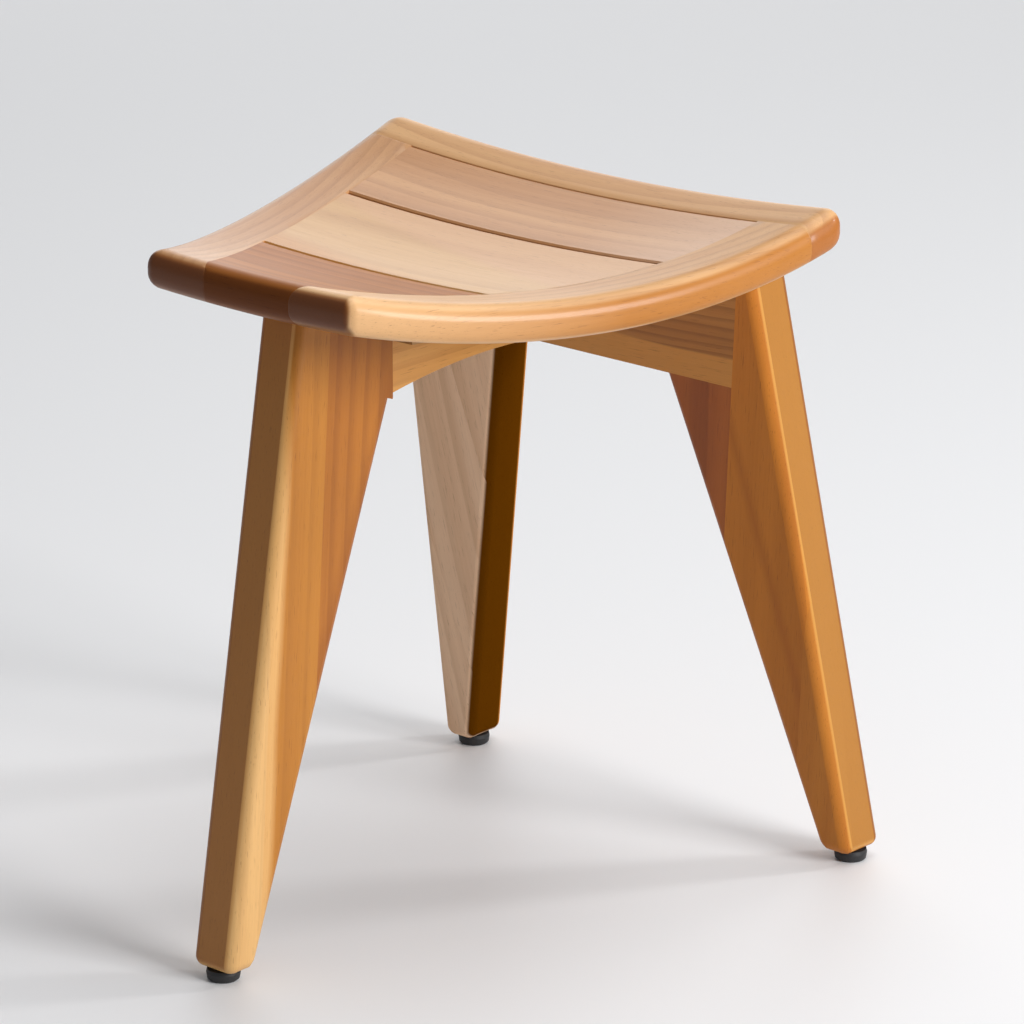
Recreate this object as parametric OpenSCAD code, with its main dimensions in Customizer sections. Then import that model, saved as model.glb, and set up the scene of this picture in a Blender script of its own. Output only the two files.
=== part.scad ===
// Three-legged wooden shower stool: a dished seat of rails and slats on a T-shaped under-frame.
// Each leg is a plank glued up from three boards and stands on a screw-in levelling foot.
// Lengths are in millimetres. X runs across the seat, Y from the front leg to the back, Z is up.

/* [Seat] */
// Height of the seat's two back corners above the floor
seat_height = 464; // [450:1:478]
// Width across the two back corners
seat_back_w = 391; // [382:1:398]
// Width across the two front corners
seat_front_w = 172; // [164:1:180]
// Depth from the front edge to the back edge
seat_depth = 346; // [338:1:354]
// Thickness of the seat's boards
seat_t = 25; // [23:0.5:28]
// How far each side bows out from a straight line between its corners
side_bow = 20; // [16:1:23]
// Sag of the seat from side to side
dish_across = 10.5; // [8:0.5:13]
// Sag of the seat from front to back
dish_along = 25; // [22:0.5:28]
// Width of the two side rails
side_rail_w = 43; // [40:1:46]
// Width of the back rail
back_rail_w = 34; // [31:1:37]
// Width of the middle slat
middle_slat_w = 117.5; // [112:0.5:122]
// Width of the back slat
back_slat_w = 76.5; // [72:0.5:80]
// Drain gap between two slats
slat_gap = 3; // [2:0.5:4]
// Fine gap between the back slat and the back rail
back_gap = 1; // [0.5:0.25:2]
// Rounding of the front and back edges on the seat's upper side
edge_top_r = 12; // [9:0.5:13]
// Rounding of the front and back edges on the seat's underside
edge_bottom_r = 8; // [6:0.5:9]
// Rounding of the two bowed sides on the seat's upper side
side_top_r = 11; // [8:0.5:12]
// Rounding of the two bowed sides on the seat's underside
side_bottom_r = 7; // [5:0.5:8]
// Bevel of the boards' edges along the gaps between them
gap_bevel = 1.25; // [0.75:0.25:2]
// Rounding of the seat's corners, seen from above
corner_r = 10; // [7:0.5:12]

/* [Legs] */
// Thickness of a leg's plank
leg_t = 36; // [34:1:38]
// Width of a leg at its foot
foot_w = 24; // [23:1:28]
// Angle by which a leg's inner edge leans more than its outer edge
leg_taper = 10.75; // [10:0.25:11.5]
// Splay of the front leg's outer edge
front_splay = 9.75; // [9:0.25:10.5]
// Splay of the back legs' outer edges to the sides
side_splay = 3.4; // [3:0.1:4.5]
// Backward lean of the frame that the two back legs share
back_lean = 11; // [9:0.5:12]
// Depth below the seat's back corners at which a leg's inner edge turns upright
knee_drop = 111; // [108:1:114]
// Where the front leg's splayed line, from its foot's middle, meets the back corners' height: its
// distance inside the seat's front edge
front_line_in = 50.5; // [47:0.5:54]
// The same for the back legs' leaning plane, inside the seat's back edge
back_line_in = 40.5; // [37:0.5:43]
// The same for a back leg's splayed line, inside the seat's back corner
side_line_in = 55; // [51:0.5:59]
// Rounding along a leg's long edges
leg_r = 8; // [5:0.5:9]
// Rounding round a leg's lower end
foot_r = 6; // [3:0.5:7]
// Width of a leg's inner board at the knee
inner_board_w = 60; // [56:1:62]
// Width of the front leg's middle board at the knee
front_middle_w = 43; // [40:1:46]
// Width that the back legs' middle boards would have at the knee, if no edge cut them
back_middle_w = 70; // [67:1:73]
// Outward lean of the front leg's glue lines, going down
front_glue_lean = 4; // [3:0.25:5]
// Inward lean of the back legs' glue lines, going down
back_glue_lean = 11; // [9:0.25:13]

/* [Rails under the seat] */
// Thickness of the spine rail
spine_t = 26; // [22:1:30]
// Rise of the spine rail's arched lower edge
spine_arch = 9; // [4:0.5:12]
// How far the cross rail's lower edge is below the knees, along its leaning face
cross_drop = 7; // [5:1:10]
// Thickness of the cross rail's tongue that laps over a leg's inner board
lap_t = 18; // [16:0.5:19]
// Width of the cleats beside the spine rail
cleat_w = 16; // [14:1:20]
// Depth of the cleats below the seat
cleat_h = 18; // [16:1:22]

/* [Dowels and screws] */
// Diameter of the seat's dowels
seat_dowel_d = 8; // [6:0.5:9]
// Length of the seat's dowels
seat_dowel_len = 30; // [26:1:34]
// Diameter of the under-frame's dowels
frame_dowel_d = 10; // [8:0.5:10]
// Length of the under-frame's dowels
frame_dowel_len = 32; // [28:1:36]
// Diameter of the screws' shanks
screw_d = 4.2; // [3.5:0.1:5]
// Diameter of the screws' countersunk heads
screw_head_d = 8.4; // [7.5:0.1:9]
// Length of the screws
screw_len = 30; // [26:1:34]

/* [Levelling feet] */
// Diameter of a foot's pad
pad_d = 22; // [20:0.5:23]
// Height of a foot's pad
pad_h = 7.5; // [6:0.5:10]
// Diameter of a foot's threaded stem
stem_d = 8; // [6:0.5:8]
// Length of the stem above its pad
stem_len = 19; // [17:0.5:22]
// Outer diameter of the threaded insert in a leg
insert_d = 12; // [11:0.5:13]
// Length of the threaded insert
insert_len = 16; // [14:0.5:18]

/* [Clearances] */
// Gap between a screwed-in pad and the leg above it
pad_gap = 0.3; // [0.2:0.05:0.5]
// Radial clearance of a stem in its insert
stem_clearance = 0.05; // [0.02:0.01:0.1]
// Radial clearance of a screw in the piece that it passes through
screw_clearance = 0.3; // [0.1:0.05:0.5]

/* [Hidden] */

// Reach of a tool past the face that it cuts
over = 1;
// Share by which a tool is wider than its rounding, so that it crosses the faces instead of just
// touching them: on the legs' long edges and on the ends of the seat's boards
wider = 1.01;
end_wider = 1.003;
// Depth of a side rounding's middle below the faces, as a share of its radius
side_meet = 0.95;
// Facets of the wide curves and of the small round pieces
big_fn = 256;
small_fn = 48;

// The dish is part of a ring surface: an arc along Y turned about a level axis high over the seat.
across_r = radius_of(seat_back_w / 2, dish_across);
along_r = radius_of(seat_depth / 2, dish_along);
ring_r = across_r - along_r;
axis_z = seat_height + sqrt(pow(across_r - dish_along, 2) - pow(seat_back_w / 2, 2));
// Angle of the ring that the seat takes up, with some to spare
ring_span = 20;

// Each side of the seat is an arc about a point beyond the other side.
side_dx = (seat_back_w - seat_front_w) / 2;
side_chord = norm([side_dx, seat_depth]);
side_r = radius_of(side_chord / 2, side_bow);
side_mid_x = (seat_back_w + seat_front_w) / 4;
side_cx = side_mid_x - (side_r - side_bow) * seat_depth / side_chord;
side_cy = (side_r - side_bow) * side_dx / side_chord;
inner_side_r = side_r - side_rail_w;

// Edges of the slats along Y, counted from the seat's centre
back_edge = seat_depth / 2;
rail_edge = back_edge - back_rail_w;
back_slat_to = rail_edge - back_gap;
back_slat_from = back_slat_to - back_slat_w;
middle_slat_to = back_slat_from - slat_gap;
middle_slat_from = middle_slat_to - middle_slat_w;
front_slat_to = middle_slat_from - slat_gap;

// Underside of the wood, over the pads
foot_z = pad_h + pad_gap;

// Knees, cross rail and feet, from the seat's own sizes
knee_h = seat_height - knee_drop;
cross_bottom = knee_h - cross_drop;
front_foot_y = seat_depth / 2 - front_line_in + seat_height * tan(front_splay);
back_foot_y = seat_depth / 2 - back_line_in + seat_height * tan(back_lean);
back_foot_x = seat_back_w / 2 - side_line_in + seat_height * tan(side_splay);

// The whole stool is moved along Y so that its box is centred on the origin.
front_reach = front_foot_y + foot_w / 2 - rounded_off(foot_r, front_splay);
back_mid_y = back_foot_y - foot_z * tan(back_lean);
back_reach = back_mid_y + leg_t / 2 / cos(back_lean) - rounded_off(foot_r, back_lean);
y_shift = (front_reach - back_reach) / 2;

// Spine rail: from the front leg's knee to the cross rail's front face
spine_from = -front_foot_y - knee_s(front_splay);
spine_to = back_face_y(knee_h, -leg_t / 2);
spine_mid = (spine_from + spine_to) / 2;
spine_arch_r = radius_of((spine_to - spine_from) / 2, spine_arch);
cleat_inset = 6;

// Heights at which the roundings of the legs' inner edges stop: just under the front leg's knee, and
// behind the cross rail's tongues
front_round_h = knee_h - 1;
back_round_h = cross_bottom + 2;
// Distance from the knee that is past either edge of a plank
far = 400;

// Heights of the two dowels at each end of the spine rail
spine_h = seat_z(0, 0, seat_t) - knee_h;
spine_dowel_z = [knee_h + spine_h * 0.28, knee_h + spine_h * 0.66];

// Flange of a stem, moulded into the middle of the pad
flange_d = pad_d - 7;
flange_t = 2;
flange_z = (pad_h - flange_t) / 2;

function radius_of(half, sag) = (half * half + sag * sag) / (2 * sag);
// How far a rounding of radius r pulls in the tip of an edge that leans by a
function rounded_off(r, a) = r * ((1 + sin(a)) / cos(a) - 1);
// Height of the seat's surface, depth below the top face
function seat_z(x, y, depth = 0) =
    axis_z - sqrt(pow(ring_r + sqrt(pow(along_r + depth, 2) - y * y), 2) - x * x);
// X of a side's arc of radius r at y
function side_x(r, y) = side_cx + sqrt(r * r - pow(y - side_cy, 2));
// Leg outlines: s is measured outward from the foot's centre, h up the plank
function outer_s(splay, h) = foot_w / 2 - tan(splay) * (h - foot_z);
function inner_s(splay, h) = -foot_w / 2 - tan(splay + leg_taper) * (h - foot_z);
function knee_s(splay) = inner_s(splay, knee_h);
function glue_s(splay, lean, h, from_knee) =
    knee_s(splay) + from_knee - tan(lean) * (h - knee_h);
// Y on the leaning back frame at height z, t behind its middle plane
function back_face_y(z, t) = back_foot_y - z * tan(back_lean) + t / cos(back_lean);

// Every sub-part is drawn about the seat's centre and then moved with the whole stool
module centred() translate([0, y_shift, 0]) children();

// Seat

// Turns a profile, drawn as [distance below the axis, -y], about the dish's level axis
module about_dish_axis()
    translate([0, 0, axis_z]) rotate([90, 0, 0]) rotate([0, 0, -90 - ring_span / 2])
        rotate_extrude(angle = ring_span, $fn = big_fn) children();

// Everything from well above the seat down to the face that lies depth below its top
module above_face(depth) {
    // Half the depth and half the width of the block of ring section that is turned
    block_h = seat_height / 6;
    block_w = seat_back_w;
    about_dish_axis() intersection() {
        translate([ring_r, 0]) circle(along_r + depth, $fn = big_fn);
        translate([across_r - block_h, -block_w]) square([block_h * 2, block_w * 2]);
    }
}

// Section of a board that runs across the seat, between two places along Y
module board_profile(from, to) {
    translate([ring_r, 0]) difference() {
        intersection() {
            circle(along_r + seat_t, $fn = big_fn);
            translate([along_r / 2, -to]) square([along_r, to - from]);
        }
        circle(along_r, $fn = big_fn);
        end_waste(-from);
        mirror([0, 1]) end_waste(to);
    }
}

// What is taken off an end at the distance edge from the middle: full roundings at the seat's front
// and back, and fine bevels along the gaps
module end_waste(edge) {
    rounded = edge == back_edge;
    top_r = rounded ? edge_top_r : gap_bevel;
    low_r = rounded ? edge_bottom_r : gap_bevel;
    top_c = [sqrt(pow(along_r + top_r, 2) - pow(edge - top_r, 2)), edge - top_r];
    low_c = [sqrt(pow(along_r + seat_t - low_r, 2) - pow(edge - low_r, 2)), edge - low_r];
    top_dir = -top_c / norm(top_c);
    low_dir = low_c / norm(low_c);
    if (rounded) {
        round_end(top_c, top_r, top_dir);
        round_end(low_c, low_r, low_dir);
    } else {
        bevel_end(top_c, top_r, top_dir);
        bevel_end(low_c, low_r, low_dir);
    }
}

// What a rounding about c takes off an end of the section, past the direction of its face
module round_end(c, r, face_dir) {
    wide = r * 2;
    difference() {
        polygon([c, c + face_dir * wide, c + face_dir * wide + [0, wide], c + [0, wide]]);
        translate(c) circle(r * end_wider, $fn = small_fn);
    }
}

// What a bevel takes off in the same place
module bevel_end(c, r, face_dir) {
    wide = r * 4;
    polygon([c + face_dir * (r + over) - [0, over], c + face_dir * wide, c + face_dir * wide + [0, wide],
        c + [0, wide], c + [0, r + over] - face_dir * over]);
}

// Seat's outline from above: two bowed sides between a straight front and back
module seat_outline(r) {
    intersection() {
        translate([side_cx, side_cy]) circle(r, $fn = big_fn * 2);
        translate([-side_cx, side_cy]) circle(r, $fn = big_fn * 2);
        square([seat_back_w + side_bow * 4, seat_depth + over * 2], center = true);
    }
}

// What a rounded corner takes off the right-hand side, at the back or at the front
module corner_waste(at_back) {
    edge_y = at_back ? back_edge : -back_edge;
    inward = at_back ? -1 : 1;
    c = [side_x(side_r - corner_r, edge_y + inward * corner_r), edge_y + inward * corner_r];
    out = (c - [side_cx, side_cy]) / norm(c - [side_cx, side_cy]);
    on_side = c + out * (corner_r + over);
    difference() {
        polygon([c, [c.x, edge_y - inward * over], [on_side.x + corner_r, edge_y - inward * over],
            on_side]);
        translate(c) circle(corner_r * end_wider, $fn = small_fn);
    }
}

// Stands an outline up through the whole height that the dished seat takes up
module seat_region() {
    below = seat_height / 5;
    above = seat_height / 10;
    translate([0, 0, seat_height - below]) linear_extrude(below + above) children();
}

// Right-hand edge of the seat at y, where the side meets the face that lies depth below the top
function side_edge(y, depth) =
    [side_x(side_r, y), y, seat_z(side_x(side_r, y), y, depth)];
// Direction square to the seat's faces at the point p, upward
function seat_up(p) =
    let (q = norm([p.x, p.z - axis_z]))
    unit([p.x * (ring_r / q - 1), -p.y, (p.z - axis_z) * (ring_r / q - 1)]);
function unit(v) = v / norm(v);

// What a rounding takes off the right-hand edge. The edge is very nearly a circle, so the tool is a
// ring on the circle through the edge's two ends and its middle. It meets both faces at an angle.
module side_waste(r, depth, facing) {
    sector = 60;
    mid = side_edge(0, depth);
    a = side_edge(-back_edge, depth) - mid;
    b = side_edge(back_edge, depth) - mid;
    square_to = cross(a, b);
    centre = mid + cross(a * a * b - b * b * a, square_to) / (2 * square_to * square_to);
    up = unit(square_to) * sign(square_to.z);
    out = unit(mid - centre);
    side_out = unit([mid.x - side_cx, mid.y - side_cy, 0]);
    face_out = seat_up(mid) * facing;
    s = unit([side_out * out, side_out * up]);
    f = unit([face_out * out, face_out * up]);
    c = -(s + f) * r * side_meet / (1 + s * f);
    wide = r * 2;
    translate(centre) rotate([0, acos(up.z), atan2(up.y, up.x)])
        rotate([0, 0, -sector / 2]) rotate_extrude(angle = sector, $fn = big_fn)
            translate([norm(mid - centre), 0]) difference() {
                polygon([c, c + s * wide, c + (s + f) * wide, c + f * wide]);
                translate(c) circle(r, $fn = small_fn);
            }
}

// Both roundings of the right-hand side
module side_edges_waste() {
    side_waste(side_top_r, 0, 1);
    side_waste(side_bottom_r, seat_t, -1);
}

module strip(from, to) {
    half_w = seat_back_w;
    translate([-half_w, from]) square([half_w * 2, to - from]);
}

// Places a dowel's middle on the joint between a slat and the side rail, halfway down the boards
module at_slat_ends() {
    inset = 18;
    for (y = [middle_slat_from - slat_gap - inset, -back_edge + inset * 2,
              middle_slat_from + inset, middle_slat_to - inset,
              back_slat_from + inset, back_slat_to - inset])
        for (side = [0, 1]) mirror([side, 0, 0]) {
            x = side_x(inner_side_r, y);
            translate([x, y, seat_z(x, y, seat_t / 2)]) rotate([0, 90, 0]) children();
        }
}

// Places a dowel's middle on the joint between the back rail and each side rail
module at_rail_corners() {
    y = rail_edge;
    shares = [0.3, 0.7];
    for (side = [0, 1]) mirror([side, 0, 0])
        for (share = shares) {
            x = side_x(inner_side_r, y) + side_rail_w * share;
            translate([x, y, seat_z(x, y, seat_t / 2)]) rotate([90, 0, 0]) children();
        }
}

module seat_dowel_pin() cylinder(d = seat_dowel_d, h = seat_dowel_len, center = true, $fn = small_fn);

module side_rail() {
    difference() {
        intersection() {
            about_dish_axis() board_profile(-back_edge, back_edge);
            seat_region() difference() {
                intersection() {
                    seat_outline(side_r);
                    strip(-back_edge - over, rail_edge);
                    translate([0, -seat_depth]) square([seat_back_w, seat_depth * 2]);
                }
                translate([side_cx, side_cy]) circle(inner_side_r, $fn = big_fn * 2);
            }
        }
        side_edges_waste();
        seat_region() corner_waste(false);
        at_slat_ends() seat_dowel_pin();
        at_rail_corners() seat_dowel_pin();
    }
}

module left_rail() color("peru") centred() mirror([1, 0, 0]) side_rail();

module right_rail() color("peru") centred() side_rail();

module back_rail() color("tan") centred() {
    difference() {
        intersection() {
            about_dish_axis() board_profile(rail_edge, back_edge);
            seat_region() intersection() {
                seat_outline(side_r);
                strip(rail_edge, back_edge + over);
            }
        }
        for (side = [0, 1]) mirror([side, 0, 0]) {
            side_edges_waste();
            seat_region() corner_waste(true);
        }
        at_rail_corners() seat_dowel_pin();
        at_seat_joints() frame_dowel_pin();
    }
}

// A slat between the two side rails
module slat(from, to) {
    difference() {
        intersection() {
            about_dish_axis() board_profile(from, to);
            seat_region() seat_outline(inner_side_r);
        }
        at_slat_ends() seat_dowel_pin();
        at_seat_joints() frame_dowel_pin();
        at_seat_screws() screw_hole();
    }
}

module front_slat() color("burlywood") centred() slat(-back_edge, front_slat_to);

module middle_slat() color("navajowhite") centred() slat(middle_slat_from, middle_slat_to);

module back_slat() color("tan") centred() slat(back_slat_from, back_slat_to);

module slat_dowels() color("wheat") centred() at_slat_ends() seat_dowel_pin();

module corner_dowels() color("wheat") centred() at_rail_corners() seat_dowel_pin();

// Legs

// Rounds off one long edge: the tool stands along Z at the corner of a face that looks along +X.
// It meets both faces at a slight angle, because the glue lines cross the rounding's ends.
module edge_tool(r, len) {
    for (side = [0, 1]) mirror([0, side, 0])
        translate([0, leg_t / 2, -over]) linear_extrude(len + over * 2) difference() {
            translate([-r, -r]) square(r + over);
            translate([-r, -r]) circle(r * wider, $fn = small_fn);
        }
}

// Rounds off a lower edge that lies along X, where a face leaning by a meets the flat underside.
// The material is on the -Y side of the face and above the underside.
module sole_tool(r, a, len) {
    // Middle of the rounding, in the plane across the edge
    c = [-r * (1 + sin(a)) / cos(a), r];
    on_face = c + (r + over) * [cos(a), sin(a)];
    translate([-len / 2, 0, 0]) rotate([90, 0, 90]) linear_extrude(len) difference() {
        polygon([c, [c.x, -over], [over, -over], [on_face.x + over, on_face.y], on_face]);
        translate(c) circle(r, $fn = small_fn);
    }
}

// Plank before its lower end and its top are cut: s along X, h along Z, thickness along Y.
// The rounding of its inner edge stops at the height round_h.
module plank(splay, round_h) {
    low = -seat_height / 20;
    high = seat_height;
    long = high - low;
    difference() {
        rotate([90, 0, 0]) linear_extrude(leg_t, center = true)
            polygon([[inner_s(splay, low), low], [outer_s(splay, low), low],
                [outer_s(splay, high), high], [knee_s(splay), high], [knee_s(splay), knee_h]]);
        translate([outer_s(splay, low), 0, low]) rotate([0, -splay, 0]) edge_tool(leg_r, long * 1.1);
        translate([inner_s(splay, low), 0, low]) rotate([0, -splay - leg_taper, 0])
            mirror([1, 0, 0]) edge_tool(leg_r, (round_h - low) / cos(splay + leg_taper) - over);
    }
}

// Band of a plank between two glue lines, each given by its distance from the knee
module glue_band(splay, lean, from, to) {
    low = -seat_height / 10;
    high = seat_height * 1.1;
    rotate([90, 0, 0]) linear_extrude(leg_t + over * 2, center = true)
        polygon([[glue_s(splay, lean, low, from), low], [glue_s(splay, lean, low, to), low],
            [glue_s(splay, lean, high, to), high], [glue_s(splay, lean, high, from), high]]);
}

// One of a plank's boards: 0 is the inner one, 1 the middle one and 2 the outer one
module plank_board(splay, round_h, lean, middle_w, board) {
    edges = [-far, inner_board_w, inner_board_w + middle_w, far];
    intersection() {
        plank(splay, round_h);
        glue_band(splay, lean, edges[board], edges[board + 1]);
    }
}

module front_leg_place() translate([0, -front_foot_y, 0]) rotate([0, 0, -90]) children();

module right_leg_place() translate([back_foot_x, back_foot_y, 0]) rotate([back_lean, 0, 0]) children();

module left_leg_place() mirror([1, 0, 0]) right_leg_place() children();

module below_floor_line() {
    room = 900;
    translate([-room / 2, -room / 2, foot_z - room]) cube(room);
}

module front_leg_board(board) {
    difference() {
        front_leg_place() plank_board(front_splay, front_round_h, front_glue_lean, front_middle_w, board);
        above_face(seat_t);
        below_floor_line();
        front_sole();
        at_foot(0) foot_bore();
        at_spine_front() frame_dowel_pin();
        at_seat_joints() frame_dowel_pin();
    }
}

// Rounding round the front leg's lower end
module front_sole() translate([0, -front_foot_y, foot_z]) {
    translate([0, -foot_w / 2, 0]) rotate([0, 0, 180]) sole_tool(foot_r, front_splay, leg_t * 2);
    translate([0, foot_w / 2, 0]) sole_tool(foot_r, -front_splay - leg_taper, leg_t * 2);
    for (side = [0, 1]) mirror([side, 0, 0])
        translate([leg_t / 2, 0, 0]) rotate([0, 0, -90]) sole_tool(foot_r, 0, leg_t * 3);
}

// Rounding round the right leg's lower end
module back_sole() translate([back_foot_x, back_mid_y, foot_z]) {
    half_t = leg_t / 2 / cos(back_lean);
    translate([0, half_t, 0]) sole_tool(foot_r, back_lean, leg_t * 2);
    translate([0, -half_t, 0]) rotate([0, 0, 180]) sole_tool(foot_r, -back_lean, leg_t * 2);
    translate([foot_w / 2, 0, 0]) rotate([0, 0, -90]) sole_tool(foot_r, side_splay, leg_t * 3);
    translate([-foot_w / 2, 0, 0]) rotate([0, 0, 90])
        sole_tool(foot_r, -side_splay - leg_taper, leg_t * 3);
}

module right_leg_board(board) {
    difference() {
        right_leg_place() plank_board(side_splay, back_round_h, -back_glue_lean, back_middle_w, board);
        above_face(seat_t);
        below_floor_line();
        back_sole();
        if (board == 0) lap_housing();
        at_foot(1) foot_bore();
        at_laps() frame_dowel_pin();
        at_seat_joints() frame_dowel_pin();
    }
}

module left_leg_board(board) mirror([1, 0, 0]) right_leg_board(board);

module front_leg_inner_board() color("chocolate") centred() front_leg_board(0);
module front_leg_middle_board() color("peru") centred() front_leg_board(1);
module front_leg_outer_board() color("burlywood") centred() front_leg_board(2);
module left_leg_inner_board() color("sienna") centred() left_leg_board(0);
module left_leg_middle_board() color("peru") centred() left_leg_board(1);
module left_leg_outer_board() color("burlywood") centred() left_leg_board(2);
module right_leg_inner_board() color("sienna") centred() right_leg_board(0);
module right_leg_middle_board() color("peru") centred() right_leg_board(1);
module right_leg_outer_board() color("burlywood") centred() right_leg_board(2);

// Rails under the seat

// Cross rail's outline on the leaning frame, from one leg's first glue line to the other's,
// or as far past them as reach says
module cross_outline(reach = 0) {
    high = seat_height;
    low_x = back_foot_x + glue_s(side_splay, -back_glue_lean, cross_bottom, inner_board_w) + reach;
    high_x = back_foot_x + glue_s(side_splay, -back_glue_lean, high, inner_board_w) + reach;
    polygon([[-low_x, cross_bottom], [low_x, cross_bottom], [high_x, high], [-high_x, high]]);
}

// Room in both legs' inner boards for the rail's front part
module lap_housing()
    translate([0, back_foot_y, 0]) rotate([back_lean, 0, 0]) rotate([90, 0, 0])
        translate([0, 0, leg_t / 2 - lap_t]) linear_extrude(lap_t + over) cross_outline(over);

module cross_rail() color("peru") centred() {
    difference() {
        translate([0, back_foot_y, 0]) rotate([back_lean, 0, 0]) difference() {
            rotate([90, 0, 0]) linear_extrude(leg_t, center = true) cross_outline();
            for (side = [0, 1]) mirror([side, 0, 0])
                translate([back_foot_x, 0, 0]) intersection() {
                    plank(side_splay, back_round_h);
                    translate([-far, lap_t - leg_t / 2, 0]) cube([far * 2, leg_t, far * 2]);
                }
        }
        above_face(seat_t);
        at_seat_joints() frame_dowel_pin();
        at_spine_back() frame_dowel_pin();
        at_laps() frame_dowel_pin();
        mirror([1, 0, 0]) at_laps() frame_dowel_pin();
    }
}

module spine_rail() color("orange") centred() {
    difference() {
        translate([-spine_t / 2, spine_from, knee_h])
            cube([spine_t, spine_to - spine_from + leg_t, seat_height - knee_h]);
        above_face(seat_t);
        translate([0, spine_mid, knee_h + spine_arch - spine_arch_r]) rotate([0, 90, 0])
            cylinder(r = spine_arch_r, h = spine_t + over * 2, center = true, $fn = big_fn);
        translate([0, back_foot_y, 0]) rotate([back_lean, 0, 0])
            translate([-leg_t, -leg_t / 2, 0]) cube([leg_t * 2, leg_t * 4, seat_height * 2]);
        at_spine_front() frame_dowel_pin();
        at_spine_back() frame_dowel_pin();
        at_cleat_screws() screw_hole();
    }
}

// Cleat on the right of the spine rail, before it is drilled
module cleat_strip() {
    from = spine_from + cleat_inset;
    len = spine_to - cleat_inset - leg_t / 4 - from;
    block_h = seat_height / 5;
    difference() {
        translate([spine_t / 2, from, seat_height - block_h]) cube([cleat_w, len, block_h]);
        above_face(seat_t);
        difference() {
            translate([0, from - over, 0]) cube([spine_t + cleat_w, len + over * 2, seat_height]);
            above_face(seat_t + cleat_h);
        }
    }
}

module drilled_cleat(left)
    difference() {
        mirror([left ? 1 : 0, 0, 0]) cleat_strip();
        at_cleat_screws() clear_hole();
        at_seat_screws() clear_hole();
    }

module right_cleat() color("tan") centred() drilled_cleat(false);

module left_cleat() color("tan") centred() drilled_cleat(true);

// Dowels

module frame_dowel_pin() cylinder(d = frame_dowel_d, h = frame_dowel_len, center = true, $fn = small_fn);

module at_spine_front()
    for (z = spine_dowel_z) translate([0, spine_from, z]) rotate([90, 0, 0]) children();

module at_spine_back()
    for (z = spine_dowel_z)
        translate([0, back_face_y(z, -leg_t / 2), z]) rotate([90, 0, 0]) children();

// Dowels through the lapped joint on the right, square to the leaning frame
module at_laps() {
    inner_x = back_foot_x + knee_s(side_splay);
    shares = [0.3, 0.7];
    rises = [0.2, 0.31];
    for (i = [0, 1])
        translate([inner_x + inner_board_w * shares[i], back_foot_y, 0]) rotate([back_lean, 0, 0])
            translate([0, 0, cross_bottom + knee_drop * rises[i]]) rotate([90, 0, 0]) children();
}

// Upright dowels on the seat's underside: from the front leg into the front slat, from the
// cross rail into the back slat, and from the back legs' inner boards into the back rail
module at_seat_joints() {
    front_y = spine_from - frame_dowel_len / 2 - frame_dowel_d * 1.5;
    slat_x = inner_board_w;
    slat_y = (back_slat_to + back_face_y(seat_z(slat_x, back_slat_to, seat_t), -leg_t / 2)) / 2;
    // Wood left between a dowel and the back rail's inner edge
    land = 2;
    rail_y = rail_edge + frame_dowel_d / 2 + land;
    rail_x = back_foot_x + knee_s(side_splay) + inner_board_w;
    for (at = [[0, front_y], [0, front_y - leg_t], [-slat_x, slat_y], [slat_x, slat_y],
               [-rail_x, rail_y], [rail_x, rail_y]])
        translate([at.x, at.y, seat_z(at.x, at.y, seat_t)]) children();
}

module spine_dowels() color("wheat") centred() {
    at_spine_front() frame_dowel_pin();
    at_spine_back() frame_dowel_pin();
}

module lap_dowels() color("wheat") centred()
    for (side = [0, 1]) mirror([side, 0, 0]) at_laps() frame_dowel_pin();

module seat_dowels() color("wheat") centred() at_seat_joints() frame_dowel_pin();

// Screws: each lies along Z with its head's flat face at the origin and its tip upward

module screw() {
    cone = (screw_head_d - screw_d) / 2;
    rotate_extrude($fn = small_fn)
        polygon([[0, 0], [screw_head_d / 2, 0], [screw_d / 2, cone],
            [screw_d / 2, screw_len - screw_d], [0, screw_len]]);
}

// Hole with the screw's own shape, in the piece that its thread bites into
module screw_hole() screw();

// Clearance hole with a countersink, in the piece that it passes through
module clear_hole() {
    cone = (screw_head_d - screw_d) / 2;
    wide = screw_clearance;
    translate([0, 0, -over]) cylinder(d = screw_head_d + wide * 2, h = over, $fn = small_fn);
    cylinder(d1 = screw_head_d + wide * 2, d2 = screw_d + wide * 2, h = cone, $fn = small_fn);
    cylinder(d = screw_d + wide * 2, h = screw_len, $fn = small_fn);
}

// Places the screws that go up through the cleats into the middle and back slats
module at_seat_screws() {
    inset = 18;
    for (side = [-1, 1]) for (y = [middle_slat_from + inset, back_slat_from + inset]) {
        x = side * (spine_t + cleat_w) / 2;
        translate([x, y, seat_z(x, y, seat_t + cleat_h)]) children();
    }
}

// Places the screws of the two cleats, which are staggered so that they pass each other
module at_cleat_screws() {
    shares = [0.22, 0.52, 0.84];
    for (side = [-1, 1]) for (share = shares) {
        y = spine_from + (spine_to - spine_from) * share + side * screw_head_d / 2;
        z = seat_z(0, y, seat_t + cleat_h / 2);
        translate([side * (spine_t / 2 + cleat_w), y, z]) rotate([0, -90 * side, 0]) children();
    }
}

module cleat_screws() color("silver") centred() at_cleat_screws() screw();

module seat_screws() color("silver") centred() at_seat_screws() screw();

// Levelling feet: 0 is the front one, 1 the right one, 2 the left one

module at_foot(which) {
    places = [[0, -front_foot_y], [back_foot_x, back_mid_y], [-back_foot_x, back_mid_y]];
    translate([places[which].x, places[which].y, 0]) children();
}

// Bore for an insert, and the wider room that the stem has above it
module foot_bore() {
    room = 1;
    spare = 3;
    translate([0, 0, foot_z - over]) cylinder(d = insert_d, h = insert_len + over, $fn = small_fn);
    translate([0, 0, foot_z]) cylinder(d = stem_d + room, h = stem_len + spare, $fn = small_fn);
}

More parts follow.
